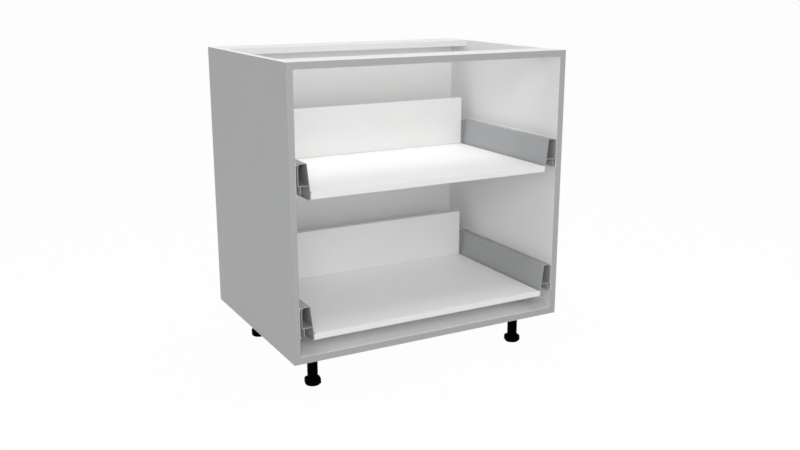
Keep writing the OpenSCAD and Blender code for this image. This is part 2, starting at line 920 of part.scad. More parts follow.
module drawer_rail(z, left) {
    leg_low = middle_mid + lip_space;
    leg_u = inner_half + sheet_t / 2;
    top_v = web_z - sheet_t / 2;
    color("lightsteelblue") in_carcass() on_side(left) translate([0, 0, z]) {
        along_y(rail_start, drawer_rail_end) polygon(sheet_outline([
            [track_u - leg_u, leg_low],
            [track_u - leg_u, top_v],
            [track_u + leg_u, top_v],
            [track_u + leg_u, leg_low]
        ], sheet_t));
    }
}

module middle_rail(z, left) {
    color("lightsteelblue") in_carcass() on_side(left) translate([0, 0, z]) {
        along_y(rail_start, middle_end) difference() {
            polygon(round_outline([track_u - middle_w / 2, middle_low],
                [track_u + middle_w / 2, middle_high], bend_r + sheet_t / 2));
            polygon(round_outline([track_u - middle_w / 2 + sheet_t, middle_low + sheet_t],
                [track_u + middle_w / 2 - sheet_t, middle_high - sheet_t], bend_r - sheet_t / 2));
        }
    }
}

// A cage with its rollers, from y0 back to y1, with the rollers' axes at height v
module roller_cage(y0, y1, v) {
    cage_w = 2 * (inner_half - cage_side_gap);
    count = floor((y1 - y0 - roller_pitch / 2) / roller_pitch) + 1;
    first = (y0 + y1) / 2 - (count - 1) * roller_pitch / 2;
    difference() {
        translate([track_u - cage_w / 2, y0, v - cage_t / 2]) cube([cage_w, y1 - y0, cage_t]);
        for (i = [0 : count - 1]) {
            translate([track_u, first + i * roller_pitch, v]) {
                cube([roller_len + 2 * pocket_gap, roller_d + 2 * pocket_gap, 2 * cage_t], center = true);
            }
        }
    }
    for (i = [0 : count - 1]) {
        rod_x([track_u - roller_len / 2, first + i * roller_pitch, v], roller_d, roller_len);
    }
}

module fixed_cages(z) {
    color("ivory") in_carcass() on_both_sides() translate([0, 0, z]) {
        roller_cage(fixed_cage_y0, fixed_cage_y1, track_top + roll_gap + roller_d / 2);
    }
}

module moving_cages(z) {
    color("ivory") in_carcass() on_both_sides() translate([0, 0, z]) {
        roller_cage(moving_cage_y0, moving_cage_y1, ceiling_v - roll_gap - roller_d / 2);
    }
}

side_panel(true);  // side_panel_left
side_panel(false);  // side_panel_right
bottom_panel();
top_rail(band_t, front_rail_d - band_t, worktop_hole_y_front);  // front_rail
top_rail(rear_rail_y, rear_rail_d, worktop_hole_y_rear);  // rear_rail
back_panel();
upright_band(true);  // edge_band_left
upright_band(false);  // edge_band_right
cross_band(0);  // edge_band_bottom
cross_band(rail_z);  // edge_band_rail
wood_dowels();
cam_bolts();
cam_housings();
cabinet_rail(upper_floor_z, true);  // cabinet_rail_upper_left
cabinet_rail(upper_floor_z, false);  // cabinet_rail_upper_right
cabinet_rail(lower_floor_z, true);  // cabinet_rail_lower_left
cabinet_rail(lower_floor_z, false);  // cabinet_rail_lower_right
cabinet_rail_screws();
leg_socket(true, leg_y_front);  // leg_socket_front_left
leg_socket(false, leg_y_front);  // leg_socket_front_right
leg_socket(true, leg_y_rear);  // leg_socket_rear_left
leg_socket(false, leg_y_rear);  // leg_socket_rear_right
leg_socket_screws();
leg_shaft(true, leg_y_front);  // leg_shaft_front_left
leg_shaft(false, leg_y_front);  // leg_shaft_front_right
leg_shaft(true, leg_y_rear);  // leg_shaft_rear_left
leg_shaft(false, leg_y_rear);  // leg_shaft_rear_right
foot(true, leg_y_front);  // foot_front_left
foot(false, leg_y_front);  // foot_front_right
foot(true, leg_y_rear);  // foot_rear_left
foot(false, leg_y_rear);  // foot_rear_right
drawer_floor(upper_floor_z);  // upper_drawer_floor
drawer_back(upper_floor_z);  // upper_drawer_back
metal_side(upper_floor_z, true);  // upper_side_left
metal_side(upper_floor_z, false);  // upper_side_right
rear_bracket(upper_floor_z, true);  // upper_bracket_left
rear_bracket(upper_floor_z, false);  // upper_bracket_right
drawer_rail(upper_floor_z, true);  // upper_drawer_rail_left
drawer_rail(upper_floor_z, false);  // upper_drawer_rail_right
front_catches(upper_floor_z);  // upper_front_catches
drawer_screws(upper_floor_z);  // upper_drawer_screws
middle_rail(upper_floor_z, true);  // upper_middle_rail_left
middle_rail(upper_floor_z, false);  // upper_middle_rail_right
fixed_cages(upper_floor_z);  // upper_fixed_cages
moving_cages(upper_floor_z);  // upper_moving_cages
drawer_floor(lower_floor_z);  // lower_drawer_floor
drawer_back(lower_floor_z);  // lower_drawer_back
metal_side(lower_floor_z, true);  // lower_side_left
metal_side(lower_floor_z, false);  // lower_side_right
rear_bracket(lower_floor_z, true);  // lower_bracket_left
rear_bracket(lower_floor_z, false);  // lower_bracket_right
drawer_rail(lower_floor_z, true);  // lower_drawer_rail_left
drawer_rail(lower_floor_z, false);  // lower_drawer_rail_right
front_catches(lower_floor_z);  // lower_front_catches
drawer_screws(lower_floor_z);  // lower_drawer_screws
middle_rail(lower_floor_z, true);  // lower_middle_rail_left
middle_rail(lower_floor_z, false);  // lower_middle_rail_right
fixed_cages(lower_floor_z);  // lower_fixed_cages
moving_cages(lower_floor_z);  // lower_moving_cages
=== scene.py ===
# %% [markdown]
# # A kitchen base cabinet, dressed for the camera
#
# The cabinet's boards, drawer sides, runners and legs arrive as a fixed model in real sizes. This
# lesson gives each of them its finish, rounds the edges that a hand or an eye would find, and sets
# up a camera, a floor and soft light. Everything is in metres, with the front facing -Y.

# %% Load the frame
import json
import math

import bmesh
import bpy
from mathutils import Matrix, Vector

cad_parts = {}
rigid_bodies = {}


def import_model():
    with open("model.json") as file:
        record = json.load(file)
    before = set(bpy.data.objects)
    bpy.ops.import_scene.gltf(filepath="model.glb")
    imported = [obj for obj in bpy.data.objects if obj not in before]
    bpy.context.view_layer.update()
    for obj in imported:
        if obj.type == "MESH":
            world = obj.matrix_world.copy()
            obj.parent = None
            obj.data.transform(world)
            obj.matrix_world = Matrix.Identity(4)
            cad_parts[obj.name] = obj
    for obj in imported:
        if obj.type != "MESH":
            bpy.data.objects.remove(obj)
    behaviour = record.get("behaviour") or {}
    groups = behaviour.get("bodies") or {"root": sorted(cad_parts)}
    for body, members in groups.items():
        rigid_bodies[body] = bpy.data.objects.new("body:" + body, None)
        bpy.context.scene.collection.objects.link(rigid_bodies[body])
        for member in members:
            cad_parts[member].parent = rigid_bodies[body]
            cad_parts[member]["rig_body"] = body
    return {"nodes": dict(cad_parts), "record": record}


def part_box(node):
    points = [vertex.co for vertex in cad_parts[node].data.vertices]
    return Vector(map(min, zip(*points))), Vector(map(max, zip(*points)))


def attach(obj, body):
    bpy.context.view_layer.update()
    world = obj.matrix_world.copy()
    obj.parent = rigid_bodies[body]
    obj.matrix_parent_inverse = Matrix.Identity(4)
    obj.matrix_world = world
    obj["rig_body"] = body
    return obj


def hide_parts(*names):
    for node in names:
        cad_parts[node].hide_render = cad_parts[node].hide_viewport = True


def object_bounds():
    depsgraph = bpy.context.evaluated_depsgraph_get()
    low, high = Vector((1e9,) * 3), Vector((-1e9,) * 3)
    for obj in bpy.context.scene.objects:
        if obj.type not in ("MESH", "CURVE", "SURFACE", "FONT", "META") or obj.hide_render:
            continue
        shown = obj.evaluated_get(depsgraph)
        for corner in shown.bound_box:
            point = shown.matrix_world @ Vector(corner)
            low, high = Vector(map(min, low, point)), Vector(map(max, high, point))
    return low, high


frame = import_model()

cad_low, cad_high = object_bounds()
cad_size = cad_high - cad_low
print("cabinet", [round(v, 3) for v in cad_size], "in", len(frame["nodes"]), "nodes")

# %% [markdown]
# ## The camera
#
# The view comes from the left, a little above the cabinet, with a lens a bit longer than normal.
# The distance and the lens were found together from the corners of the cabinet, because a longer
# lens from further off would show less of the perspective that narrows the far side.

# %% Camera
sensor_mm, lens_mm = 36, 42.36
view_reach = 200
camera_place = (-1.2100, -2.2991, 1.0255)
camera_tilt = math.radians(75.26)
camera_turn = math.radians(-28.77)

camera = bpy.data.objects.new("camera", bpy.data.cameras.new("camera"))
camera.data.sensor_width = sensor_mm
camera.data.lens = lens_mm
camera.data.clip_end = view_reach
camera.location = camera_place
camera.rotation_euler = (camera_tilt, 0, camera_turn)
bpy.context.collection.objects.link(camera)
bpy.context.scene.camera = camera
bpy.context.scene.view_settings.view_transform = "Standard"
print("camera", round(camera.location.length, 2), "m from the origin")

# %% [markdown]
# ## Colours and nodes
#
# Colours are written as the hex values that a paint chart gives. Blender's shaders want linear
# light, so one function turns them over. Another small function adds a node with its settings and
# its links in one line, which keeps the materials below short enough to read.

# %% Helpers for materials
MM = 0.001


def linear(hex_colour):
    """A colour such as #a5a6a7 as linear red, green, blue and alpha."""
    parts = [int(hex_colour[i:i + 2], 16) / 255 for i in (1, 3, 5)]
    light = [c / 12.92 if c <= 0.04045 else ((c + 0.055) / 1.055) ** 2.4 for c in parts]
    return (*light, 1)


def add(tree, kind, links=None, **settings):
    """Adds a node, sets what is given and links its inputs to sockets or fills them with values."""
    made = tree.nodes.new(kind)
    for name, value in settings.items():
        setattr(made, name, value)
    for name, source in (links or {}).items():
        if isinstance(source, bpy.types.NodeSocket):
            tree.links.new(source, made.inputs[name])
        else:
            made.inputs[name].default_value = source
    return made


def new_material(name, metallic=0.0, ior=1.5):
    """An empty material with its shader, and Object coordinates to hang patterns on."""
    material = bpy.data.materials.new(name)
    material.use_nodes = True
    tree = material.node_tree
    tree.nodes.clear()
    shader = add(tree, "ShaderNodeBsdfPrincipled", {"Metallic": metallic, "IOR": ior})
    output = add(tree, "ShaderNodeOutputMaterial")
    tree.links.new(shader.outputs[0], output.inputs["Surface"])
    place = add(tree, "ShaderNodeTexCoord").outputs["Object"]
    return material, tree, shader, place


def per_metre(size_mm):
    """The texture scale that repeats a pattern once in the given number of millimetres."""
    return 1 / (size_mm * MM)


print("mid grey in linear light:", round(linear("#808080")[0], 3))

# %% [markdown]
# Most finishes here share three things: a colour that drifts a little over the surface, a shine that
# does the same, and a relief so fine that it only breaks up the reflections. Three functions add
# them, so that each material states only its own sizes and amounts. A noise texture gives values
# around 0.5 and hardly any below 0.3 or above 0.7, so that range is stretched to the whole spread.

# %% Drifting colour and fine relief
NOISE_LOW, NOISE_HIGH = 0.3, 0.7


def drift(tree, place, shader, pale, dark, size_mm):
    """Lets a colour wander between two near shades over patches of the given size."""
    cloud = add(tree, "ShaderNodeTexNoise", {"Vector": place, "Scale": per_metre(size_mm), "Detail": 3.0})
    ramp = add(tree, "ShaderNodeValToRGB", {"Fac": cloud.outputs["Fac"]})
    ramp.color_ramp.elements[0].position = NOISE_LOW
    ramp.color_ramp.elements[0].color = linear(dark)
    ramp.color_ramp.elements[1].position = NOISE_HIGH
    ramp.color_ramp.elements[1].color = linear(pale)
    if shader:
        tree.links.new(ramp.outputs["Color"], shader.inputs["Base Color"])
    return ramp.outputs["Color"]


def sheen_patches(tree, place, shader, low, high, size_mm):
    """Lets the roughness wander between two values."""
    cloud = add(tree, "ShaderNodeTexNoise", {"Vector": place, "Scale": per_metre(size_mm), "Detail": 4.0})
    spread = add(tree, "ShaderNodeMapRange", {
        "Value": cloud.outputs["Fac"], "From Min": NOISE_LOW, "From Max": NOISE_HIGH,
        "To Min": low, "To Max": high,
    })
    tree.links.new(spread.outputs["Result"], shader.inputs["Roughness"])


def fine_relief(tree, place, shader, size_mm, depth_mm, strength, detail=2.0):
    """Covers the surface with bumps of the given size and depth."""
    grain = add(tree, "ShaderNodeTexNoise", {
        "Vector": place, "Scale": per_metre(size_mm), "Detail": detail,
    })
    bump = add(tree, "ShaderNodeBump", {
        "Height": grain.outputs["Fac"], "Distance": depth_mm * MM, "Strength": strength,
    })
    tree.links.new(bump.outputs["Normal"], shader.inputs["Normal"])


print("noise is used from", NOISE_LOW, "to", NOISE_HIGH)

# %% [markdown]
# ## Faced chipboard
#
# Every board is chipboard with a melamine face: paper soaked in resin and pressed against a steel
# plate. The plate leaves a fine pearl grain, which makes the shine broad and soft. Resin has a high
# refractive index, about 1.6. The real grain is near 0.3 mm and would vanish in the picture, so it
# is drawn at about 0.9 mm.
#
# Some boards have two colours. The side panels are white inside and grey outside, and a drawer's
# floor has a strip of slightly greyer ABS along its front edge. Both could be cut into two pieces,
# but one board stays one piece here: a mask compares a coordinate with the place of the face. The
# coordinate is taken without its sign where the face may lie at either end of the axis, and times
# -1 where it lies at the negative end.

# %% Melamine faces
MELAMINE_IOR = 1.6
COLOUR_DEPTH = 0.3 * MM


def pressed_face(tree, place, shader):
    """The soft shine and the pearl grain of a melamine face."""
    sheen_patches(tree, place, shader, low=0.46, high=0.5, size_mm=40)
    fine_relief(tree, place, shader, size_mm=0.9, depth_mm=0.02, strength=0.35)


def melamine(name, pale, dark):
    """White or grey melamine on both faces."""
    material, tree, shader, place = new_material(name, ior=MELAMINE_IOR)
    drift(tree, place, shader, pale, dark, size_mm=90)
    pressed_face(tree, place, shader)
    return material


def two_tone_melamine(name, board, face, axis, outward, face_at):
    """One colour on a board and another on the face that lies furthest out along an axis."""
    material, tree, shader, place = new_material(name, ior=MELAMINE_IOR)
    plain = drift(tree, place, None, *board, size_mm=90)
    other = drift(tree, place, None, *face, size_mm=120)
    along = add(tree, "ShaderNodeSeparateXYZ", {"Vector": place}).outputs[axis]
    reach = add(tree, "ShaderNodeMath", {0: along, 1: -1.0}, operation=outward).outputs[0]
    mask = add(tree, "ShaderNodeMath", {0: reach, 1: face_at - COLOUR_DEPTH}, operation="GREATER_THAN")
    tone = add(tree, "ShaderNodeMix", {"Factor": mask.outputs[0], "A": plain, "B": other},
               data_type="RGBA")
    tree.links.new(tone.outputs["Result"], shader.inputs["Base Color"])
    pressed_face(tree, place, shader)
    return material


print("outer faces at", round(cad_high.x, 3), "m from the middle")

# %% [markdown]
# ## Edge band
#
# The front edges carry a strip of ABS plastic, glued on and trimmed flush. It is a little shinier
# than the melamine, with a faint grain that was embossed while the strip was rolled.


# %% ABS edge band
def edge_band(name, pale, dark):
    """Grey ABS strip."""
    material, tree, shader, place = new_material(name, ior=1.54)
    drift(tree, place, shader, pale, dark, size_mm=140)
    sheen_patches(tree, place, shader, low=0.36, high=0.44, size_mm=30)
    fine_relief(tree, place, shader, size_mm=0.7, depth_mm=0.015, strength=0.3)
    return material


print("edge bands:", sum(name.startswith("edge_band") for name in frame["nodes"]))

# %% [markdown]
# ## Painted and plated steel
#
# The drawer sides are rolled from steel sheet and then powder coated. The powder melts into a skin
# with a slight orange peel, a few millimetres from bump to bump. The runners are only zinc plated:
# bare metal with a bluish cast, and fine lines along their length from the rollers that formed them.
# Their wall plates are cut from galvanised sheet, which is duller. They are also drawn paler: painted
# light that lifts the shade they catch from the wall close beside them. Roll lines are finer
# than 0.1 mm, and are drawn 0.8 mm wide so that they show.

# %% Steel
ROLL_LINE_STRETCH = 0.012


def powder_coat(name, pale, dark):
    """Grey powder coat on sheet steel."""
    material, tree, shader, place = new_material(name, ior=1.5)
    drift(tree, place, shader, pale, dark, size_mm=110)
    sheen_patches(tree, place, shader, low=0.38, high=0.46, size_mm=18)
    fine_relief(tree, place, shader, size_mm=2.4, depth_mm=0.03, strength=0.4, detail=1.0)
    return material


def zinc_plate(name, pale, dark, rough=(0.3, 0.42)):
    """Zinc-plated steel with roll lines that run front to back."""
    material, tree, shader, place = new_material(name, metallic=1.0)
    drift(tree, place, shader, pale, dark, size_mm=35)
    sheen_patches(tree, place, shader, *rough, size_mm=12)
    stretch = add(tree, "ShaderNodeMapping", {"Vector": place, "Scale": (1.0, ROLL_LINE_STRETCH, 1.0)})
    fine_relief(tree, stretch.outputs[0], shader, size_mm=0.8, depth_mm=0.02, strength=0.35)
    return material


print("roll lines are", round(1 / ROLL_LINE_STRETCH), "times as long as wide")

# %% [markdown]
# ## Plastics, zinc castings and beech
#
# The legs are moulded polypropylene with carbon black, matt from the spark-eroded mould. They look
# all but pure black, so their gloss is turned almost off. The roller cages are natural acetal, a
# milky white plastic that slides well. Cams are cast zinc, and dowels are turned from beech with
# the grain along their length. The grain of a mould is near 0.1 mm, and is drawn at 0.6 mm.

# %% Plastics, castings and wood
FLECK_STRETCH = 0.08


def moulded_plastic(name, pale, dark, rough=(0.5, 0.6), ior=1.49, gloss=0.5):
    """Plastic from a spark-eroded mould."""
    material, tree, shader, place = new_material(name, ior=ior)
    shader.inputs["Specular IOR Level"].default_value = gloss
    drift(tree, place, shader, pale, dark, size_mm=30)
    sheen_patches(tree, place, shader, *rough, size_mm=8)
    fine_relief(tree, place, shader, size_mm=0.6, depth_mm=0.03, strength=0.4)
    return material


def cast_zinc(name, pale, dark):
    """Die-cast zinc, dull and slightly mottled."""
    material, tree, shader, place = new_material(name, metallic=1.0)
    drift(tree, place, shader, pale, dark, size_mm=6)
    sheen_patches(tree, place, shader, low=0.4, high=0.55, size_mm=3)
    fine_relief(tree, place, shader, size_mm=0.5, depth_mm=0.02, strength=0.4)
    return material


def beech(name, pale, dark):
    """Turned beech with short dark flecks along X."""
    material, tree, shader, place = new_material(name, ior=1.45)
    stretch = add(tree, "ShaderNodeMapping", {"Vector": place, "Scale": (FLECK_STRETCH, 1.0, 1.0)})
    drift(tree, stretch.outputs[0], shader, pale, dark, size_mm=1.2)
    sheen_patches(tree, place, shader, low=0.5, high=0.65, size_mm=4)
    return material


print("flecks are", round(1 / FLECK_STRETCH), "times as long as wide")

# %% [markdown]
# ## Which piece has which finish
#
# The record that comes with the model gives every piece a slot, such as runner_steel. One material
# is made for each slot, and each piece takes the material of its slot. A few parts differ and are
# listed apart: the side panels and the drawer floors have two colours, and the wall plates are
# galvanised. The rails are drawn a shade greyer than the other boards, as painted shade that tones
# down the strong light from above, and the bottom a shade whiter, as painted light in the deep space
# under the lower drawer. The rear brackets are drawn a darker grey than the drawer sides, as painted
# shade for the corner they stand in. The floors are drawn whiter than real melamine is, as painted
# light that matches how bright they look. The zinc catches inside the hollow sides wear a cover of
# grey plastic.

# %% Finishes by slot
finishes = {
    "faced_board": melamine("white_melamine", "#ededec", "#ebeceb"),
    "drawer_board": melamine("drawer_melamine", "#e5e5e4", "#e3e4e3"),
    "edge_band": edge_band("grey_abs_band", "#a1a1a1", "#a0a0a1"),
    "side_steel": powder_coat("grey_powder_coat", "#a7a8aa", "#a5a6a8"),
    "runner_steel": zinc_plate("zinc_plated_steel", "#d9dbdd", "#c9cbce"),
    "screw_steel": zinc_plate("zinc_plated_screws", "#c6c8c9", "#b3b5b6"),
    "cam_steel": zinc_plate("zinc_plated_bolts", "#c2c4c5", "#b0b2b3"),
    "cam_zinc": cast_zinc("die_cast_zinc", "#a7a9aa", "#8f9192"),
    "leg_plastic": moulded_plastic("black_polypropylene", "#030303", "#010101", gloss=0.01),
    "foot_plastic": moulded_plastic("black_foot_plastic", "#030303", "#010101", gloss=0.01),
    "catch_zinc": moulded_plastic("grey_catch_plastic", "#7d7f81", "#737577"),
    "cage_plastic": moulded_plastic("natural_acetal", "#e6e4db", "#dedcd2", rough=(0.3, 0.4), ior=1.48),
    "beech": beech("turned_beech", "#d9b98c", "#c49d6c"),
}
# The rails' white is drawn a shade greyer than the other boards: painted shade that tones down the strong
# light from above.
rail_melamine_painted_shade = melamine("rail_melamine_painted_shade", "#e0e0df", "#dedfde")
# The wall plates are duller as galvanised sheet, and paler as painted light that lifts the shade near the
# wall.
galvanised = zinc_plate("galvanised_sheet_painted_light", "#f0f1f2", "#e6e8ea", rough=(0.55, 0.65))
part_finishes = {
    "front_rail": rail_melamine_painted_shade,
    "rear_rail": rail_melamine_painted_shade,
    "cabinet_rail_upper": galvanised,
    "cabinet_rail_lower": galvanised,
    # The bottom's white is drawn a shade whiter than the other boards: painted light in the deep space
    # under the lower drawer.
    "bottom_panel": melamine("bottom_melamine_painted_light", "#f6f6f5", "#f4f5f4"),
    "side_panel_": two_tone_melamine(
        "white_and_grey_melamine", board=("#ededec", "#ebeceb"), face=("#b2b3b4", "#b1b2b3"),
        axis="X", outward="ABSOLUTE", face_at=cad_high.x,
    ),
    # The floors' white is drawn whiter than real melamine: painted light that matches how bright they
    # look.
    "_drawer_floor": two_tone_melamine(
        "banded_drawer_melamine_painted_light", board=("#fdfdfc", "#fbfcfb"), face=("#e1e1e0", "#dfe0df"),
        axis="Y", outward="MULTIPLY", face_at=-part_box("upper_drawer_floor")[0].y,
    ),
    # The brackets' grey is drawn darker than the drawer sides': painted shade for the corner they stand
    # in.
    "_bracket_": powder_coat("grey_powder_coat_painted_shade", "#8f9193", "#8c8e90"),
}
slot_of = {row["node"]: row["material_slot"] for row in frame["record"]["subparts"]}


def finish_of(node):
    """The finish that a node wears."""
    for part, finish in part_finishes.items():
        if part in node:
            return finish
    return finishes[slot_of[node]]


for name, piece in frame["nodes"].items():
    piece.data.materials.clear()
    piece.data.materials.append(finish_of(name))
worn = {finish_of(name).name for name in frame["nodes"]}
print(len(worn), "finishes on", len(frame["nodes"]), "pieces")

# %% [markdown]
# ## Pieces that stand for a node
#
# A few pieces need softer edges or finer detail than the model gives them. Such a piece could be
# built beside the node and moved into place by eye, but then it might miss its neighbours. Here
# each one starts from the node's own surface or its box, so it lies where the node lies, moves
# with the same body and wears the same finish. A piece has to be closed, so each one prints how
# many open edges it has.

# %% Helpers for pieces
JOIN_DISTANCE = 0.002 * MM
SAME_PLANE = math.radians(0.5)


def copy_of(node):
    """A node's surface as one closed bmesh, with its triangles joined into whole faces."""
    shape = bmesh.new()
    shape.from_mesh(frame["nodes"][node].data)
    bmesh.ops.remove_doubles(shape, verts=shape.verts, dist=JOIN_DISTANCE)
    bmesh.ops.dissolve_limit(shape, angle_limit=SAME_PLANE, verts=shape.verts, edges=shape.edges)
    bmesh.ops.recalc_face_normals(shape, faces=shape.faces)
    return shape


def open_edges(shape):
    """How many edges don't have exactly two faces. A closed shape has none."""
    return sum(not edge.is_manifold for edge in shape.edges)


def place_piece(shape, name, node, smooth_below=30):
    """Makes an object of a bmesh that stands for a node. Corners under the given angle shade smooth."""
    mesh = bpy.data.meshes.new(name)
    shape.to_mesh(mesh)
    shape.free()
    mesh.shade_smooth()
    mesh.set_sharp_from_angle(angle=math.radians(smooth_below))
    mesh.materials.append(finish_of(node))
    piece = bpy.data.objects.new(name, mesh)
    bpy.context.collection.objects.link(piece)
    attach(piece, frame["nodes"][node]["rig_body"])
    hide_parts(node)
    return piece


print("vertices closer than", JOIN_DISTANCE / MM, "mm are joined")

# %% [markdown]
# ## Eased boards
#
# A sawn board never has a knife-sharp edge. The factory breaks it by a few tenths of a millimetre,
# and an edge band is scraped round once it is glued. That thin strip catches the light and draws
# the outline of each board. A Bevel modifier would also round the ends that butt against other
# boards and open gaps there, so the edges are chosen one by one: an edge is eased only where both
# of its faces are free. To choose them, each vertex is asked which sides of the board's box it
# lies on. A side is written as its axis and its end, such as -y for the front.

# %% Choosing and rounding edges
ON_FACE = 0.01 * MM
ROUND_SEGMENTS = 3
BOX_SIDES = {"-x": (0, 0), "+x": (0, 1), "-y": (1, 0), "+y": (1, 1), "-z": (2, 0), "+z": (2, 1)}


def sides_at(vert, corners):
    """The sides of a board's box that a vertex lies on, such as -y."""
    return {side for side, (axis, end) in BOX_SIDES.items()
            if abs(vert.co[axis] - corners[end][axis]) < ON_FACE}


def edges_where(shape, corners, wanted):
    """The edges of a board whose two box sides are wanted."""
    shared = {edge: sides_at(edge.verts[0], corners) & sides_at(edge.verts[1], corners)
              for edge in shape.edges}
    return [edge for edge, sides in shared.items() if len(sides) == 2 and wanted(sides)]


def bevel(shape, edges, by, segments=ROUND_SEGMENTS, profile=0.5):
    """Rounds the given edges, or cuts a square step along them where the profile is 0."""
    bmesh.ops.bevel(shape, geom=edges, offset=by, offset_type="OFFSET", segments=segments,
                    profile=profile, affect="EDGES", clamp_overlap=True, material=-1)


print("sides of a box:", *BOX_SIDES)

# %% [markdown]
# Where a drawer's floor meets its back and its metal sides, a gap lies in its own shade and shows
# as a thin dark line. A bevel whose profile is 0 cuts the small step at the foot of the back. The
# gap beside the metal sides stops short of the floor's ends, so a bevel along the whole edge would
# run too far. There planes cut rings of edges into the floor, at each end of the gap and along its
# two inner edges, and the corner between the rings is then moved in and down until it meets them.
# That bends the faces at both ends of the gap, so they are split along their folds.

# %% Gaps round a drawer's floor
SIDE_GAP, BACK_GAP = 5.0 * MM, 1.8 * MM
GAP_ENDS = 3.0 * MM
STEP_SEGMENTS = 2
BENT = math.radians(1)


def cut(shape, at, facing, clear_outer=False):
    """Cuts edges where a plane meets a shape, and can clear the side that the plane faces."""
    geometry = shape.verts[:] + shape.edges[:] + shape.faces[:]
    bmesh.ops.bisect_plane(shape, geom=geometry, dist=JOIN_DISTANCE, plane_co=at, plane_no=facing,
                           clear_outer=clear_outer)


def sink_long_edges(shape, low, high):
    """Sinks both long upper edges of a floor into a square step that stops short of its ends."""
    for x in (low.x + SIDE_GAP, high.x - SIDE_GAP):
        cut(shape, at=(x, 0, 0), facing=(1, 0, 0))
    for y in (low.y + GAP_ENDS, high.y - GAP_ENDS):
        cut(shape, at=(0, y, 0), facing=(0, 1, 0))
    cut(shape, at=(0, 0, high.z - SIDE_GAP), facing=(0, 0, 1))
    for x, inwards in ((low.x, 1), (high.x, -1)):
        sunk = [vert for vert in shape.verts
                if abs(vert.co.x - x) < ON_FACE and abs(vert.co.z - high.z) < ON_FACE
                and low.y + ON_FACE < vert.co.y < high.y - ON_FACE]
        bmesh.ops.translate(shape, verts=sunk, vec=(inwards * SIDE_GAP, 0, -SIDE_GAP))
    bmesh.ops.connect_verts_nonplanar(shape, angle_limit=BENT, faces=shape.faces[:])


def cut_foot_step(shape, corners):
    """Cuts a square step along the front edge at the foot of a drawer's back."""
    foot_edge = edges_where(shape, corners, lambda sides: sides == {"-y", "-z"})
    bevel(shape, foot_edge, BACK_GAP, segments=STEP_SEGMENTS, profile=0.0)


print("gaps", round(SIDE_GAP / MM, 1), "and", round(BACK_GAP / MM, 1), "mm wide")

# %% [markdown]
# The rounded strips shade smooth, but the wide faces shade flat. Smooth shading would let the slant
# of the strips leak across a whole face, because such a face has no vertices but those on its rim,
# and its tone would be wrong. Each board is listed with the sides of its box where it joins another
# piece, and the edges of those sides stay sharp.

# %% Boards with eased edges
EASE = 0.4 * MM
FLAT_ABOVE = 400 * MM ** 2


def eased_board(node, joined):
    """A copy of a board whose free edges are rounded. The joined sides stay sharp."""
    shape = copy_of(node)
    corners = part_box(node)
    if "_drawer_floor" in node:
        sink_long_edges(shape, *corners)
    if "_drawer_back" in node:
        cut_foot_step(shape, corners)
    free = edges_where(shape, corners, lambda sides: not sides & set(joined))
    bevel(shape, free, EASE)
    print(node, len(free), "edges eased,", open_edges(shape), "open")
    piece = place_piece(shape, node + "_eased", node)
    for face in piece.data.polygons:
        face.use_smooth = face.area < FLAT_ABOVE


BUTTED = ("-x", "+x")
boards = {
    "side_panel_left": ("-y",),
    "side_panel_right": ("-y",),
    "bottom_panel": (*BUTTED, "-y"),
    "front_rail": (*BUTTED, "-y"),
    "rear_rail": BUTTED,
    "edge_band_left": ("+y",),
    "edge_band_right": ("+y",),
    "edge_band_bottom": (*BUTTED, "+y"),
    "edge_band_rail": (*BUTTED, "+y"),
}
for drawer in ("upper", "lower"):
    boards[drawer + "_drawer_floor"] = BUTTED
    boards[drawer + "_drawer_back"] = ("-z",)
for node, joined in boards.items():
    eased_board(node, joined)

# %% [markdown]
# ## Feet
#
# Each foot is one moulding: a disc on the floor, a knob with shallow lobes for the fingers, and a
# coarse screw that climbs into the leg. The knob could be carved from a cylinder with Booleans,
# which leave ragged faces. It is turned instead: half of its outline is spun round the leg's axis,
# its rims are bevelled, and then the rim is pushed out where a lobe stands.

# %% The turned knob
PAD_R, PAD_H, PAD_ROUND = 19 * MM, 3 * MM, 0.6 * MM
KNOB_R, KNOB_H, KNOB_ROUND = 22.8 * MM, 18.7 * MM, 4.5 * MM
KNOB_SEGMENTS = 8
WAIST_ROUND = 0.8 * MM
LOBE_OUT, LOBE_R, LOBES = 1.9 * MM, 4.5 * MM, 6
FIRST_LOBE = math.radians(18)
RIM_R = KNOB_R - LOBE_OUT
SPIN_STEPS = 120


def spin_outline(shape, outline, axis_at, closed=False):
    """Spins points given as radius and height once round an upright axis."""
    verts = [shape.verts.new(axis_at + Vector((radius, 0, height))) for radius, height in outline]
    following = verts[1:] + verts[:1] if closed else verts[1:]
    edges = [shape.edges.new(pair) for pair in zip(verts, following)]
    bmesh.ops.spin(shape, geom=verts + edges, cent=axis_at, axis=(0, 0, 1), angle=math.tau,
                   steps=SPIN_STEPS, use_merge=True)
    bmesh.ops.remove_doubles(shape, verts=shape.verts, dist=JOIN_DISTANCE)
    bmesh.ops.recalc_face_normals(shape, faces=shape.faces)


def round_ring(shape, axis_at, radius, height, by, segments=ROUND_SEGMENTS):
    """Bevels the ring of edges that lies at a radius and a height."""
    def on_ring(vert):
        out = vert.co - axis_at
        return abs(out.xy.length - radius) < ON_FACE and abs(out.z - height) < ON_FACE
    ring = [edge for edge in shape.edges if all(on_ring(vert) for vert in edge.verts)]
    bevel(shape, ring, by, segments)


def lobed(angle):
    """How many times further out the rim lies at an angle than it does between two lobes."""
    pitch = math.tau / LOBES
    off = (angle - FIRST_LOBE + pitch / 2) % pitch - pitch / 2
    hub = KNOB_R - LOBE_R
    beside = LOBE_R ** 2 - (hub * math.sin(off)) ** 2
    if beside <= 0:
        return 1.0
    return max(RIM_R, hub * math.cos(off) + math.sqrt(beside)) / RIM_R


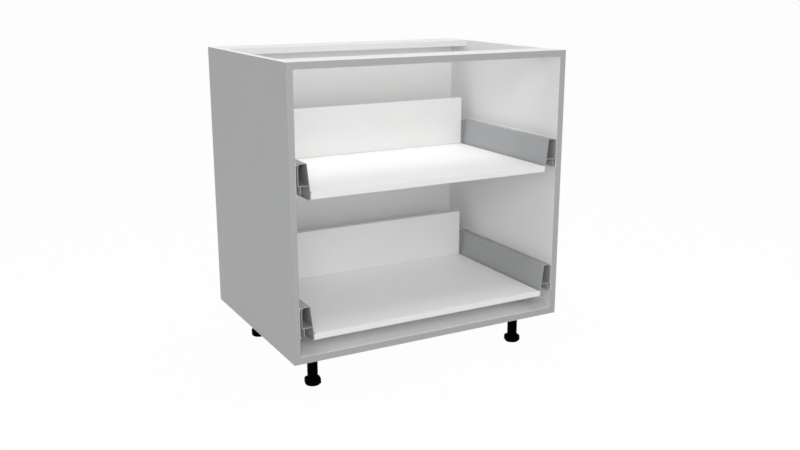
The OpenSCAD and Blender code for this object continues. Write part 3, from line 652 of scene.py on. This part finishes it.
def add_knob(shape, axis_at):
    """The disc and the lobed knob of one foot."""
    outline = [
        (0, 0), (PAD_R, 0), (PAD_R, PAD_H),
        (RIM_R, PAD_H), (RIM_R, KNOB_H), (0, KNOB_H),
    ]
    spin_outline(shape, outline, axis_at)
    round_ring(shape, axis_at, RIM_R, KNOB_H, KNOB_ROUND, KNOB_SEGMENTS)
    round_ring(shape, axis_at, RIM_R, PAD_H, WAIST_ROUND)
    round_ring(shape, axis_at, PAD_R, 0, PAD_ROUND)
    for vert in shape.verts:
        out = vert.co - axis_at
        on_pad = out.z < PAD_H + ON_FACE and out.xy.length < PAD_R + ON_FACE
        if not on_pad:
            stretch = lobed(math.atan2(out.y, out.x))
            vert.co.xy = axis_at.xy + out.xy * stretch


print("rim", round(RIM_R / MM, 1), "mm, a lobe stands out", round(lobed(FIRST_LOBE), 3), "times as far")

# %% [markdown]
# The screw is drawn by one tooth. Its outline is spun many times round the axis and climbs one
# pitch with each turn, which is what the Screw tool does. The loose turns are then joined, both
# ends are cut level and closed. Two spare turns leave enough to cut off, and the lower end starts
# inside the knob. The screw is hidden until the foot is screwed out.

# %% The threaded stud
STUD_R = 5 * MM
STUD_SUNK = 1 * MM
THREAD_PITCH = 2.5 * MM
THREAD_DEEP = 0.8 * MM
THREAD_STEPS = 36
SPARE_TURNS = 2
TOOTH = [(0.0, 0.0), (0.0, 0.25), (1.0, 0.5), (1.0, 0.75), (0.0, 1.0)]


def add_thread(axis_at, low, high):
    """A threaded rod between two heights, as a bmesh of its own."""
    rod = bmesh.new()
    turns = math.ceil((high - low) / THREAD_PITCH) + SPARE_TURNS
    root = STUD_R - THREAD_DEEP
    start = low - THREAD_PITCH
    verts = [rod.verts.new(axis_at + Vector((root + out * THREAD_DEEP, 0, start + up * THREAD_PITCH)))
             for out, up in TOOTH]
    edges = [rod.edges.new(pair) for pair in zip(verts, verts[1:])]
    bmesh.ops.spin(rod, geom=verts + edges, cent=axis_at, axis=(0, 0, 1), angle=math.tau * turns,
                   steps=THREAD_STEPS * turns, dvec=(0, 0, THREAD_PITCH / THREAD_STEPS))
    bmesh.ops.remove_doubles(rod, verts=rod.verts, dist=JOIN_DISTANCE)
    for height, away in ((low, -1), (high, 1)):
        cut(rod, at=axis_at + Vector((0, 0, height)), facing=(0, 0, away), clear_outer=True)
    bmesh.ops.holes_fill(rod, edges=[edge for edge in rod.edges if edge.is_boundary], sides=0)
    bmesh.ops.recalc_face_normals(rod, faces=rod.faces)
    return rod


print("thread", round(2 * STUD_R / MM), "mm across, pitch", round(THREAD_PITCH / MM, 1), "mm")

# %% [markdown]
# A foot turns on the axis of the shaft that it screws into, so the axis is taken from the shaft's
# box. The knob and the screw are built apart and then joined in one mesh, because the real foot is
# one moulding.


# %% The four feet
def on_leg_axis(shaft, height):
    """The point at a height on the axis of a leg's shaft."""
    low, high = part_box(shaft)
    return Vector(((low.x + high.x) / 2, (low.y + high.y) / 2, height))


def foot(node):
    """One foot in place of its node, on the axis of its leg."""
    low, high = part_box(node)
    axis_at = on_leg_axis(node.replace("foot_", "leg_shaft_"), low.z)
    shape = bmesh.new()
    add_knob(shape, axis_at)
    rod = add_thread(axis_at, KNOB_H - STUD_SUNK, (high - low).z)
    print(node, "open edges: knob", open_edges(shape), "thread", open_edges(rod))
    holder = bpy.data.meshes.new(node + "_thread")
    rod.to_mesh(holder)
    rod.free()
    shape.from_mesh(holder)
    bpy.data.meshes.remove(holder)
    place_piece(shape, node + "_moulding", node, smooth_below=40)


for node in slot_of:
    if node.startswith("foot_"):
        foot(node)

# %% [markdown]
# ## Leg tubes
#
# The leg above the foot is a second moulding. Its upper end is a spigot that plugs into the socket
# under the carcass, and below the socket the tube swells to its full width. It is hollow at the
# top, and the foot's screw climbs a bore in its lower half. A closed outline of the wall, spun once
# round, makes the tube with its inside and outside together.

# %% The tube of a leg
TUBE_R, TUBE_ROUND = 13.8 * MM, 0.8 * MM
STUD_CLEAR, SEAT_CLEAR = 0.3 * MM, 0.3 * MM
BORE_R, BORE_TOP = STUD_R + STUD_CLEAR, 68 * MM
HOLLOW_R = 9.9 * MM


def leg_tube(node):
    """The tube of one leg in place of its node, on the same axis."""
    low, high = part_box(node)
    spigot_r = (high - low).x / 2
    axis_at = on_leg_axis(node, 0)
    socket_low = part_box(node.replace("leg_shaft", "leg_socket"))[0].z
    tube_low, tube_top = KNOB_H + SEAT_CLEAR, socket_low - SEAT_CLEAR
    wall = [
        (BORE_R, tube_low), (TUBE_R, tube_low), (TUBE_R, tube_top), (spigot_r, tube_top),
        (spigot_r, high.z), (HOLLOW_R, high.z), (HOLLOW_R, BORE_TOP), (BORE_R, BORE_TOP),
    ]
    shape = bmesh.new()
    spin_outline(shape, wall, axis_at, closed=True)
    for height in (tube_low, tube_top):
        round_ring(shape, axis_at, TUBE_R, height, TUBE_ROUND)
    print(node, "open edges:", open_edges(shape), "width", round(2 * TUBE_R / MM), "mm")
    place_piece(shape, node + "_tube", node, smooth_below=40)


for node in slot_of:
    if node.startswith("leg_shaft_"):
        leg_tube(node)

# %% [markdown]
# ## The studio
#
# The floor is pale and very wide. A plain white floor would need so much light to look like paper
# that the cabinet's own whites would burn out. So to the camera it shines nearly white by itself,
# and only a small share of it is lit, which leaves the cabinet a faint shadow.

# %% Floor
FLOOR_REACH = 60.0
WHITE = (1, 1, 1, 1)
lit_share = 0.03

flat = bmesh.new()
bmesh.ops.create_grid(flat, x_segments=1, y_segments=1, size=FLOOR_REACH)
floor = bpy.data.objects.new("studio_floor", bpy.data.meshes.new("studio_floor"))
flat.to_mesh(floor.data)
flat.free()
bpy.context.collection.objects.link(floor)

floor_paint = bpy.data.materials.new("floor_paint")
floor_paint.use_nodes = True
paint = floor_paint.node_tree
paint.nodes.clear()
lit = add(paint, "ShaderNodeBsdfDiffuse", {"Color": linear("#f4f4f4")})
bright = add(paint, "ShaderNodeEmission", {"Color": WHITE, "Strength": 1.0})
ray = add(paint, "ShaderNodeLightPath").outputs
seen = add(paint, "ShaderNodeMath", {0: ray["Is Camera Ray"], 1: ray["Is Glossy Ray"]},
           operation="MAXIMUM")
share = add(paint, "ShaderNodeMath", {0: seen.outputs[0], 1: 1 - lit_share}, operation="MULTIPLY")
mixed = add(paint, "ShaderNodeMixShader", {
    0: share.outputs[0], 1: lit.outputs[0], 2: bright.outputs[0],
})
result = add(paint, "ShaderNodeOutputMaterial")
paint.links.new(mixed.outputs[0], result.inputs["Surface"])
floor.data.materials.append(floor_paint)
print("floor", 2 * FLOOR_REACH, "m wide,", lit_share, "of it lit")

# %% [markdown]
# The world is white to the camera and to reflections, as the paper behind a product is. As a light
# it is dimmer, so that the cabinet's whites stay below the paper's white.

# %% World
world_light = 0.405

world = bpy.context.scene.world or bpy.data.worlds.new("studio")
bpy.context.scene.world = world
world.use_nodes = True
sky = world.node_tree
sky.nodes.clear()
ray = add(sky, "ShaderNodeLightPath").outputs
mirrored = add(sky, "ShaderNodeMath", {0: ray["Is Glossy Ray"], 1: ray["Is Transmission Ray"]},
               operation="MAXIMUM")
seen = add(sky, "ShaderNodeMath", {0: ray["Is Camera Ray"], 1: mirrored.outputs[0]},
           operation="MAXIMUM")
strength = add(sky, "ShaderNodeMapRange", {
    "Value": seen.outputs[0], "To Min": world_light, "To Max": 1.0,
})
glow = add(sky, "ShaderNodeBackground", {"Color": WHITE, "Strength": strength.outputs[0]})
result = add(sky, "ShaderNodeOutputWorld")
sky.links.new(glow.outputs[0], result.inputs["Surface"])
print("world light", world_light)

# %% [markdown]
# ## Lamps
#
# Three soft boxes do the modelling. The strongest hangs over the cabinet and shines through its open
# top on to the upper drawer. One stands in front, a little to the left, and a wide, weak one further
# off at table height reaches under the upper drawer. The power that lights a white wall fully grows
# with the square of a lamp's distance, so each lamp is given as a share of that.


# %% Lamps
def soft_box(name, place, aim, width, share):
    """A square area lamp whose power is a share of what makes a white surface at its aim white."""
    lamp = bpy.data.objects.new(name, bpy.data.lights.new(name, "AREA"))
    gap = Vector(aim) - Vector(place)
    lamp.data.shape = "SQUARE"
    lamp.data.size = width
    lamp.data.energy = share * math.pi ** 2 * gap.length_squared
    lamp.location = place
    lamp.rotation_euler = gap.to_track_quat("-Z", "Y").to_euler()
    bpy.context.collection.objects.link(lamp)
    print(name, round(lamp.data.energy, 1), "W")


cabinet_middle = (0, 0, cad_size.z / 2)
soft_box("top_soft_box", (0.0, 0.0, 3.6), cabinet_middle, width=2.6, share=0.51)
soft_box("front_soft_box", (-1.6, -4.2, 2.2), cabinet_middle, width=2.4, share=0.32)
soft_box("wide_soft_box", (0.0, -6.0, 1.0), cabinet_middle, width=3.6, share=0.14)
